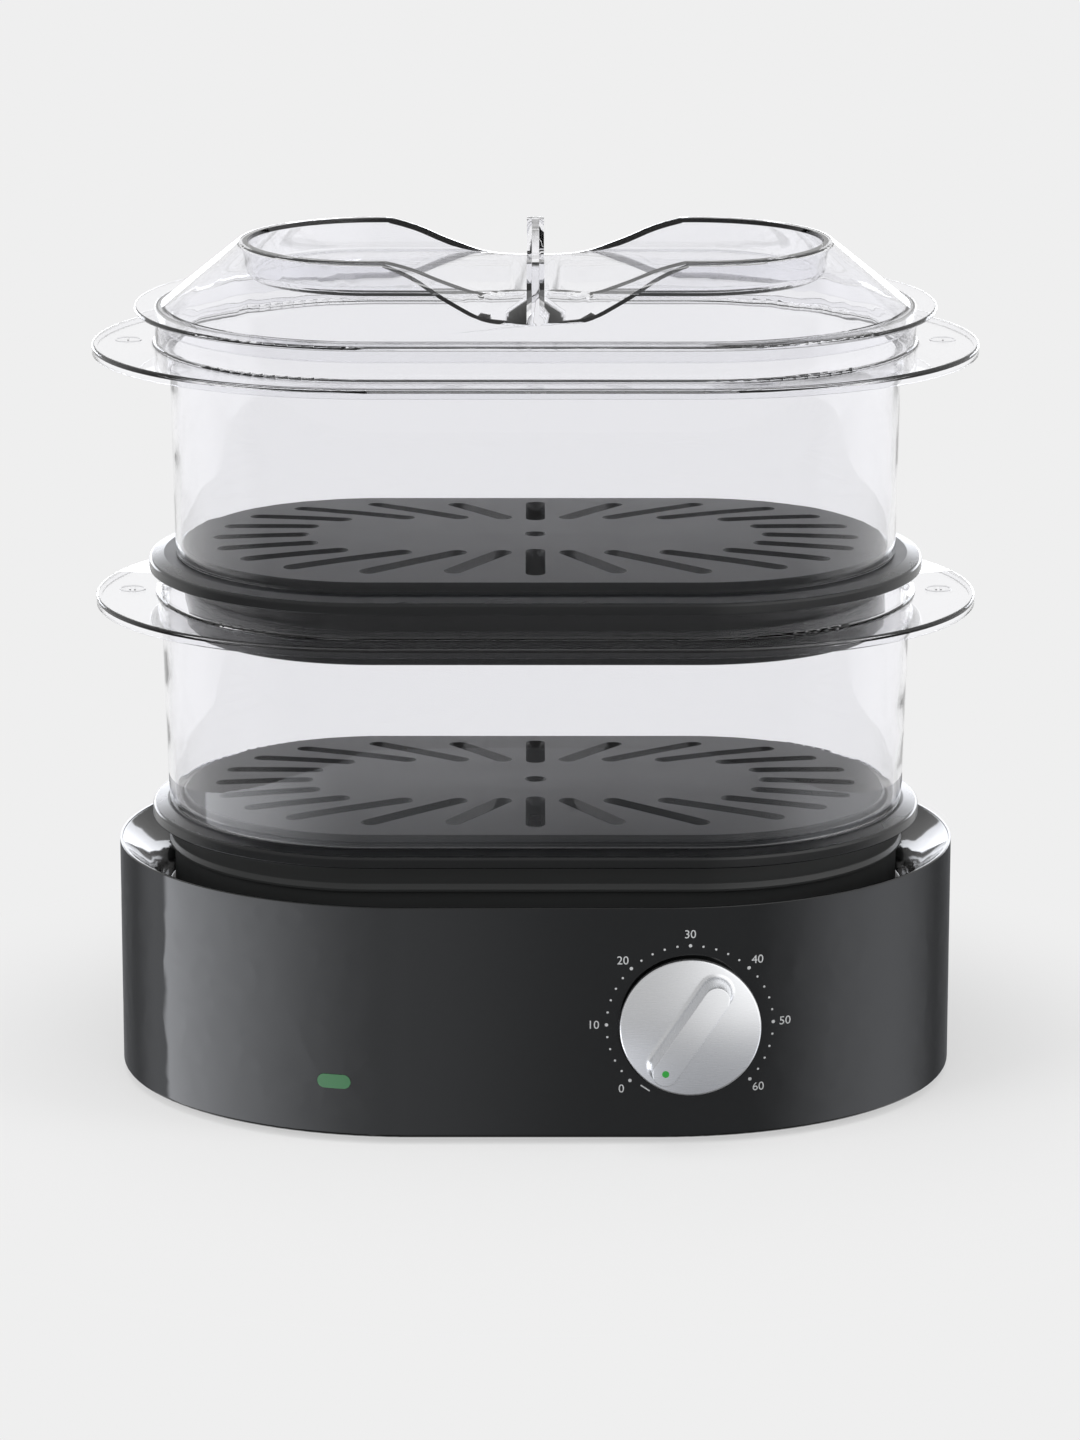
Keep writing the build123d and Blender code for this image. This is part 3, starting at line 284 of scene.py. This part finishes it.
lamps = {
    "overhead": {"place": (-0.1, -0.1, 1.7), "aim": (0, 0, 0.15), "size": (1.4, 1.2), "watts": 14},
    "leftFront": {"place": (-1.3, -1.1, 0.9), "aim": (0, 0, 0.15), "size": (0.9, 1.2), "watts": 11},
    "right": {"place": (1.4, -0.5, 0.8), "aim": (0, 0, 0.15), "size": (0.7, 1.0), "watts": 6},
}
for name, lamp in lamps.items():
    light = bpy.data.lights.new(name, "AREA")
    light.shape = "RECTANGLE"
    light.size, light.size_y = lamp["size"]
    light.energy = lamp["watts"]
    holder = bpy.data.objects.new(name, light)
    holder.location = lamp["place"]
    holder.visible_glossy = False
    holder.visible_transmission = False
    aim = Vector(lamp["aim"]) - holder.location
    holder.rotation_euler = aim.to_track_quat("-Z", "Y").to_euler()
    scene.collection.objects.link(holder)
print("camera, floor and lamps made")


# ---------- materials

# moulded gloss ABS: deep black, mirror-like, with the faint waviness of a large moulding
glossBlack, tree = startMaterial("Moulded gloss ABS")
wave = grain(tree, 0.03, 1.0)
smear = grain(tree, 0.012, 3.0)
body = addNode(tree, "ShaderNodeBsdfPrincipled", inputs={
    "Base Color": linear("121313"), "Roughness": spread(tree, smear, 0.05, 0.09), "IOR": 1.5,
    "Normal": bumpFrom(tree, wave, 0.00002, 0.4)})
finishMaterial(tree, body.outputs[0])
dress(glossBlack, "outer_casing", "reservoir_deck", "water_reservoir")

# moulded polypropylene of the trays: faces that look up carry a spark-eroded grain of about 0.5 mm, and
# the rims and skirts are smoother and shinier
satinBlack, tree = startMaterial("Moulded satin polypropylene")
pits = grain(tree, 0.0005, 2.0)
clouds = grain(tree, 0.02, 2.0)
lookUp = addNode(tree, "ShaderNodeSeparateXYZ", inputs={
    0: addNode(tree, "ShaderNodeNewGeometry").outputs["Normal"]}).outputs["Z"]
top = eased(tree, lookUp, 0.95, 0.995, 0.0, 1.0)
rough = addNode(tree, "ShaderNodeMath", {"operation": "MULTIPLY_ADD"}, {
    0: top, 1: 0.28, 2: spread(tree, clouds, 0.12, 0.17)}).outputs[0]
body = addNode(tree, "ShaderNodeBsdfPrincipled", inputs={
    "Base Color": linear("121314"), "Roughness": rough, "IOR": 1.5,
    "Normal": addNode(tree, "ShaderNodeBump", inputs={
        "Height": pits, "Distance": 0.00003, "Strength": top}).outputs["Normal"]})
finishMaterial(tree, body.outputs[0])
dress(satinBlack, "lower_tray", "upper_tray", "knob_core", "bottom_cover")

# polished polypropylene of the drip tray: black and shiny, a little softer than the casing
dripBlack, tree = startMaterial("Moulded polished polypropylene")
clouds = grain(tree, 0.015, 2.0)
body = addNode(tree, "ShaderNodeBsdfPrincipled", inputs={
    "Base Color": linear("2E2F2F"), "Roughness": spread(tree, clouds, 0.34, 0.42), "IOR": 1.5})
finishMaterial(tree, body.outputs[0])
dress(dripBlack, "drip_tray")

# clear SAN: cool, almost colourless moulding with dark edges; lamps shine through it
clearSan, tree = startMaterial("Moulded clear SAN")
flow = grain(tree, 0.04, 1.0)
glassy = addNode(tree, "ShaderNodeBsdfPrincipled", inputs={
    "Base Color": linear("FCFCFE"), "Roughness": spread(tree, flow, 0.0, 0.012), "IOR": 1.5,
    "Transmission Weight": 1.0})
lampPass = addNode(tree, "ShaderNodeBsdfTransparent", inputs={"Color": linear("F2F3F5")})
path = addNode(tree, "ShaderNodeLightPath").outputs
finishMaterial(tree, mixed(tree, path["Is Shadow Ray"], glassy.outputs[0], lampPass.outputs[0]))
dress(clearSan, "lower_bowl", "upper_bowl", "lid")

# brushed aluminium: fine lines across the grip bar, and a slightly domed face that turns the light
knobFace = {
    "domeTop": (0.0505, 0.0320),  # X and Z, a little left of and below the knob's axis, so the face leans
    "dome": 3.4,                  # the slope grows by twice this for each metre from the top
    "brushTurn": 33.5,            # degrees
    "brushScale": (120, 1, 9000),
}
brushedAluminium, tree = startMaterial("Brushed aluminium")
lines = addNode(tree, "ShaderNodeTexNoise", inputs={
    "Vector": place(tree, scale=knobFace["brushScale"], turn=(0, math.radians(knobFace["brushTurn"]), 0)),
    "Scale": 1.0, "Detail": 3.0}).outputs["Fac"]
topX, topZ = knobFace["domeTop"]
away = addNode(tree, "ShaderNodeVectorMath", {"operation": "LENGTH"}, {
    0: place(tree, scale=(1, 0, 1), shift=(-topX, 0, -topZ))}).outputs["Value"]
squared = addNode(tree, "ShaderNodeMath", {"operation": "MULTIPLY"}, {0: away, 1: away})  # square metres
domed = addNode(tree, "ShaderNodeBump", {"invert": True}, {
    "Height": squared.outputs[0], "Distance": knobFace["dome"], "Strength": 1.0})
fine = addNode(tree, "ShaderNodeBump", inputs={
    "Height": lines, "Distance": 0.00001, "Strength": 0.5, "Normal": domed.outputs["Normal"]})
body = addNode(tree, "ShaderNodeBsdfPrincipled", inputs={
    "Base Color": linear("EDEEF0"), "Metallic": 1.0, "Roughness": spread(tree, lines, 0.24, 0.32),
    "Normal": fine.outputs["Normal"]})
finishMaterial(tree, body.outputs[0])
dress(brushedAluminium, "knob_cap")

# stamped and turned steel: grey, lightly scratched
stampedSteel, tree = startMaterial("Stamped stainless steel")
scratch = grain(tree, 0.0015, 4.0, place(tree, scale=(1, 6, 1)))
body = addNode(tree, "ShaderNodeBsdfPrincipled", inputs={
    "Base Color": linear("B4B5B6"), "Metallic": 1.0, "Roughness": spread(tree, scratch, 0.22, 0.4)})
finishMaterial(tree, body.outputs[0])
dress(stampedSteel, "heater_plate", "heating_element", "heater_clamp", "cover_screws", "timer_bracket",
      "timer_screws", "timer_bell", "timer_shaft", "thermostat")

# moulded silicone rubber: matt, dark, a dusty tooth
mouldedRubber, tree = startMaterial("Moulded silicone rubber")
tooth = grain(tree, 0.0008, 3.0)
body = addNode(tree, "ShaderNodeBsdfPrincipled", inputs={
    "Base Color": linear("1C1C1D"), "Roughness": spread(tree, tooth, 0.6, 0.8),
    "Normal": bumpFrom(tree, tooth, 0.00004, 0.5)})
finishMaterial(tree, body.outputs[0])
dress(mouldedRubber, "rubber_feet", "heater_seal", "cord_bush")

# printed green enamel of the pointer dot
greenEnamel, tree = startMaterial("Printed green enamel")
fleck = grain(tree, 0.0004, 2.0)
body = addNode(tree, "ShaderNodeBsdfPrincipled", inputs={
    "Base Color": linear("2FA03C"), "Roughness": spread(tree, fleck, 0.3, 0.4)})
finishMaterial(tree, body.outputs[0])
dress(greenEnamel, "pointer_dot")

# tinted polycarbonate lens: bottle green, clear, glossy
greenLens, tree = startMaterial("Moulded green polycarbonate")
fleck = grain(tree, 0.002, 1.0)
body = addNode(tree, "ShaderNodeBsdfPrincipled", inputs={
    "Base Color": linear("3F8A52"), "Roughness": spread(tree, fleck, 0.06, 0.12), "IOR": 1.58,
    "Transmission Weight": 0.35})
finishMaterial(tree, body.outputs[0])
dress(greenLens, "lamp_lens")

# blown glass of the neon lamp
lampGlass, tree = startMaterial("Blown lamp glass")
fleck = grain(tree, 0.003, 1.0)
body = addNode(tree, "ShaderNodeBsdfPrincipled", inputs={
    "Base Color": linear("F3D9C4"), "Roughness": spread(tree, fleck, 0.0, 0.05), "IOR": 1.5,
    "Transmission Weight": 0.9})
finishMaterial(tree, body.outputs[0])
dress(lampGlass, "neon_lamp")

# moulded nylon of the inner fittings: ivory, slightly waxy
ivoryNylon, tree = startMaterial("Moulded ivory nylon")
clouds = grain(tree, 0.006, 2.0)
body = addNode(tree, "ShaderNodeBsdfPrincipled", inputs={
    "Base Color": linear("DAD7CC"), "Roughness": spread(tree, clouds, 0.45, 0.6)})
finishMaterial(tree, body.outputs[0])
dress(ivoryNylon, "timer_housing", "lamp_holder", "terminal_block", "thermal_fuse")

# silicone-sleeved wire: grey, matt, a hint of braid
sleevedWire, tree = startMaterial("Silicone-sleeved wire")
braid = grain(tree, 0.0006, 2.0)
body = addNode(tree, "ShaderNodeBsdfPrincipled", inputs={
    "Base Color": linear("8C8E92"), "Roughness": 0.6, "Normal": bumpFrom(tree, braid, 0.00005, 0.5)})
finishMaterial(tree, body.outputs[0])
dress(sleevedWire, "wiring")

# pad-printed ink: light grey, flat
padInk, tree = startMaterial("Pad-printed grey ink")
speck = grain(tree, 0.0003, 2.0)
tone = addNode(tree, "ShaderNodeMix", {"data_type": "RGBA"}, {
    "Factor": speck, 6: linear("BDBFC0"), 7: linear("D3D4D5")}).outputs[2]
body = addNode(tree, "ShaderNodeBsdfPrincipled", inputs={"Base Color": tone, "Roughness": 0.5})
finishMaterial(tree, body.outputs[0])
print("materials made")


# ---------- smooth shading of the CAD nodes

smoothing = {"mergeWithin": 0.000002, "sharpAngle": 30}  # metres, degrees
for node in nodes.values():
    node.data.polygons.foreach_set("use_smooth", [True] * len(node.data.polygons))
    weld = node.modifiers.new("weld", "WELD")
    weld.merge_threshold = smoothing["mergeWithin"]
    split = node.modifiers.new("split", "EDGE_SPLIT")
    split.split_angle = math.radians(smoothing["sharpAngle"])
    split.use_edge_sharp = False
    weigh = node.modifiers.new("weigh", "WEIGHTED_NORMAL")
    weigh.keep_sharp = True
print("nodes smoothed")


# ---------- the print round the timer knob

dial = {
    "centre": (0.0565, 0.0458),
    "dotReach": 0.0306,
    "zeroAngle": 45.8,
    "tenMinutes": 44.67,  # degrees, clockwise
    "rises": {0: 0.3, 10: 0.0, 20: 0.0, 30: -0.4, 40: -1.2, 50: -1.2, 60: -0.7},  # mm, as the wall curves
    "gaps": 5,  # between the dots of two figures, so a dot stands every two minutes
    "bigDot": 0.00064,
    "smallDot": 0.00042,
    "figureReach": 0.035,
    "figureHeight": 0.0031,
    "dash": {"angle": 34.4, "reach": 0.0290, "length": 0.0040, "width": 0.0005},
    "proud": 0.00004,
}
wall = {"straight": 0.0455, "endLong": 0.1122, "endDeep": 0.1037, "middle": 0.0064348}


def wallFront(x):  # front face of the casing at x
    across = max(0.0, abs(x) - wall["straight"]) / wall["endLong"]
    return wall["middle"] - wall["endDeep"] * math.sqrt(1 - across ** 2)


def layOnWall(mesh):  # drawn in the XZ plane round the knob's axis, then laid on the curved wall
    for vertex in mesh.vertices:
        x, z = dial["centre"][0] + vertex.co.x, dial["centre"][1] + vertex.co.z
        vertex.co = (x, wallFront(x) - dial["proud"], z)


def dialSpot(angle, reach):  # angle clockwise from straight down, seen from the front
    turn = math.radians(angle)
    return -reach * math.sin(turn), -reach * math.cos(turn)


def printPiece(name, mesh):
    layOnWall(mesh)
    mesh.materials.clear()
    mesh.materials.append(padInk)
    piece = bpy.data.objects.new(name, mesh)
    scene.collection.objects.link(piece)
    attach(piece, "base")
    return piece


figures = bmesh.new()
minuteAngles = {minute: dial["zeroAngle"] + dial["tenMinutes"] * minute / 10 for minute in dial["rises"]}
for minute, angle in minuteAngles.items():
    curve = bpy.data.curves.new("figure", "FONT")
    curve.body = str(minute)
    curve.size = 0.01
    curve.resolution_u = 6
    holder = bpy.data.objects.new("figure", curve)
    scene.collection.objects.link(holder)
    flat = bpy.data.meshes.new_from_object(holder)
    bpy.data.objects.remove(holder)
    xs, ys = [v.co.x for v in flat.vertices], [v.co.y for v in flat.vertices]
    size = dial["figureHeight"] / (max(ys) - min(ys))
    atX, atZ = dialSpot(angle, dial["figureReach"])
    atZ += dial["rises"][minute] / 1000
    flat.transform(Matrix.Translation((atX, 0, atZ)) @ Matrix.Rotation(math.radians(90), 4, "X")
                   @ Matrix.Scale(size, 4)
                   @ Matrix.Translation((-(max(xs) + min(xs)) / 2, -(max(ys) + min(ys)) / 2, 0)))
    figures.from_mesh(flat)
    bpy.data.meshes.remove(flat)
figureMesh = bpy.data.meshes.new("dial_figures")
figures.to_mesh(figureMesh)
figures.free()
printPiece("dial_figures", figureMesh)

minutes = sorted(minuteAngles)
dots = bmesh.new()
spots = [(minuteAngles[m], dial["rises"][m], dial["bigDot"]) for m in minutes]
for first, second in zip(minutes, minutes[1:]):
    for step in range(1, dial["gaps"]):
        angle, rise = [kept[first] + (kept[second] - kept[first]) * step / dial["gaps"]
                       for kept in (minuteAngles, dial["rises"])]
        spots.append((angle, rise, dial["smallDot"]))
for angle, rise, radius in spots:
    atX, atZ = dialSpot(angle, dial["dotReach"])
    atZ += rise / 1000
    stand = Matrix.Translation((atX, 0, atZ)) @ Matrix.Rotation(math.radians(90), 4, "X")
    bmesh.ops.create_circle(dots, cap_ends=True, segments=20, radius=radius, matrix=stand)
dotMesh = bpy.data.meshes.new("dial_dots")
dots.to_mesh(dotMesh)
dots.free()
printPiece("dial_dots", dotMesh)

stroke = dial["dash"]
atX, atZ = dialSpot(stroke["angle"], stroke["reach"])
dash = bmesh.new()
bmesh.ops.create_grid(dash, x_segments=6, y_segments=1, size=0.5)
bmesh.ops.scale(dash, vec=(stroke["length"], stroke["width"], 1), verts=dash.verts)
bmesh.ops.transform(dash, verts=dash.verts, matrix=Matrix.Translation((atX, 0, atZ))
                    @ Matrix.Rotation(math.radians(stroke["angle"]), 4, "Y")
                    @ Matrix.Rotation(math.radians(90), 4, "X"))
dashMesh = bpy.data.meshes.new("dial_dash")
dash.to_mesh(dashMesh)
dash.free()
printPiece("dial_dash", dashMesh)
print("dial printed")
